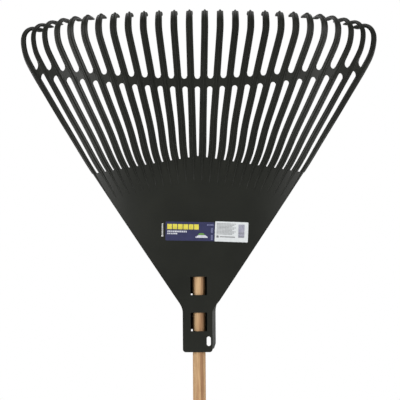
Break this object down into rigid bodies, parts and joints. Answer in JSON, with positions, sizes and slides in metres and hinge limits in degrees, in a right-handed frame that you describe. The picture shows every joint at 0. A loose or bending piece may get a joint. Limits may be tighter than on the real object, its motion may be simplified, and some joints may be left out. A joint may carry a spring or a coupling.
{
  "type": "leaf rake",
  "caption": "Fan-shaped leaf rake with a moulded plastic head of hooked tines, a cross band and a windowed socket on a round wooden handle.",
  "frame": {"origin": "centre of the handle's flat butt end", "axes": "+Z along the handle towards the tines, +X to the right, the labelled face towards -Y, so that the tines hook towards +Y"},
  "size_m": [0.6388, 0.1329, 1.5152],
  "materials": {
    "black_plastic": "satin moulded polypropylene",
    "wood": "sanded, unvarnished",
    "steel": "zinc plated",
    "label_blue": "printed film",
    "label_white": "printed film"
  },
  "bodies": {
    "root": {"tine_01": "black_plastic", "tine_02": "black_plastic", "tine_03": "black_plastic", "tine_04": "black_plastic", "tine_05": "black_plastic", "tine_06": "black_plastic", "tine_07": "black_plastic", "tine_08": "black_plastic", "tine_09": "black_plastic", "tine_10": "black_plastic", "tine_11": "black_plastic", "tine_12": "black_plastic", "tine_13": "black_plastic", "tine_14": "black_plastic", "tine_15": "black_plastic", "tine_16": "black_plastic", "tine_17": "black_plastic", "tine_18": "black_plastic", "tine_19": "black_plastic", "tine_20": "black_plastic", "tine_21": "black_plastic", "tine_22": "black_plastic", "tine_23": "black_plastic", "tine_24": "black_plastic", "tine_25": "black_plastic", "tine_26": "black_plastic", "cross_band": "black_plastic", "fan_plate": "black_plastic", "handle_socket": "black_plastic", "wooden_handle": "wood", "handle_screw": "steel", "front_label": "label_blue", "barcode_label": "label_white"}
  },
  "joints": []
}
